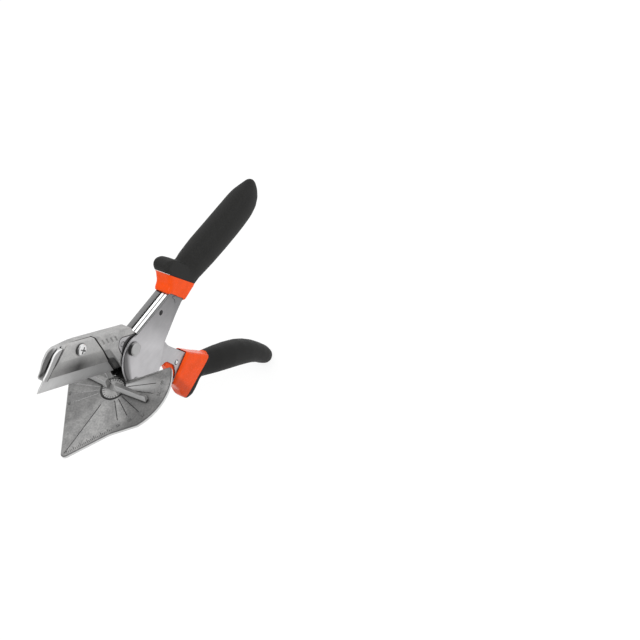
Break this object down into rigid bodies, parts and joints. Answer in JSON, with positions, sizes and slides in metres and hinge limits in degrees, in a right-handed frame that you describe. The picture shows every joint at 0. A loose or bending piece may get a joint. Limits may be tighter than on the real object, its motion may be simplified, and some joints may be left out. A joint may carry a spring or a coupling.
{
  "type": "mitre shears",
  "caption": "Hand shears for cutting trim at an angle: a clamped straight blade closes on a cast fan table marked with angles, with a swivel fence and soft grips",
  "frame": {"origin": "centre of the fan on the table's upper face, where the fence turns", "axes": "+Z out of the table's upper face, +X along the blade line towards the handles, -Y the side of the clamp screw and the pivot bolt's head"},
  "size_m": [0.2423, 0.0802, 0.2029],
  "materials": {
    "cast_aluminium": "satin, cast and tumbled",
    "cast_head": "satin, cast, nickel tone",
    "bright_steel": "bright plated",
    "blade_steel": "ground",
    "dark_steel": "blackened spring wire",
    "orange_plastic": "glossy moulded",
    "black_rubber": "matt, fine textured"
  },
  "bodies": {
    "table_unit": {"fan_table": "cast_aluminium", "upper_channel": "bright_steel", "pivot_bolt": "bright_steel", "pivot_washer": "bright_steel", "pivot_nut": "bright_steel", "return_spring": "dark_steel", "table_rivet_1": "bright_steel", "table_rivet_2": "bright_steel", "upper_collar": "orange_plastic", "upper_grip": "black_rubber"},
    "fence": {"swivel_fence": "cast_aluminium", "fence_screw": "bright_steel", "fence_washer": "bright_steel"},
    "blade_unit": {"blade_head": "cast_head", "blade": "blade_steel", "clamp_plate": "cast_head", "clamp_screw": "bright_steel", "lower_channel": "bright_steel", "head_rivet_1": "bright_steel", "head_rivet_2": "bright_steel", "pivot_spacer": "bright_steel", "stop_pin": "bright_steel", "lower_collar": "orange_plastic", "lower_grip": "black_rubber"}
  },
  "joints": [
    {"name": "lever", "type": "hinge", "parent": "table_unit", "child": "blade_unit", "pos_m": [0.026, 0, 0.0155], "axis": [0, -1, 0], "range_deg": [0, 40.8], "stiffness_Nm_per_rad": 0.5, "springref_deg": -45.84, "deforming": ["return_spring"]},
    {"name": "fence_swivel", "type": "hinge", "parent": "table_unit", "child": "fence", "pos_m": [0, 0, 0], "axis": [0, 0, 1], "range_deg": [-30, 30]}
  ]
}
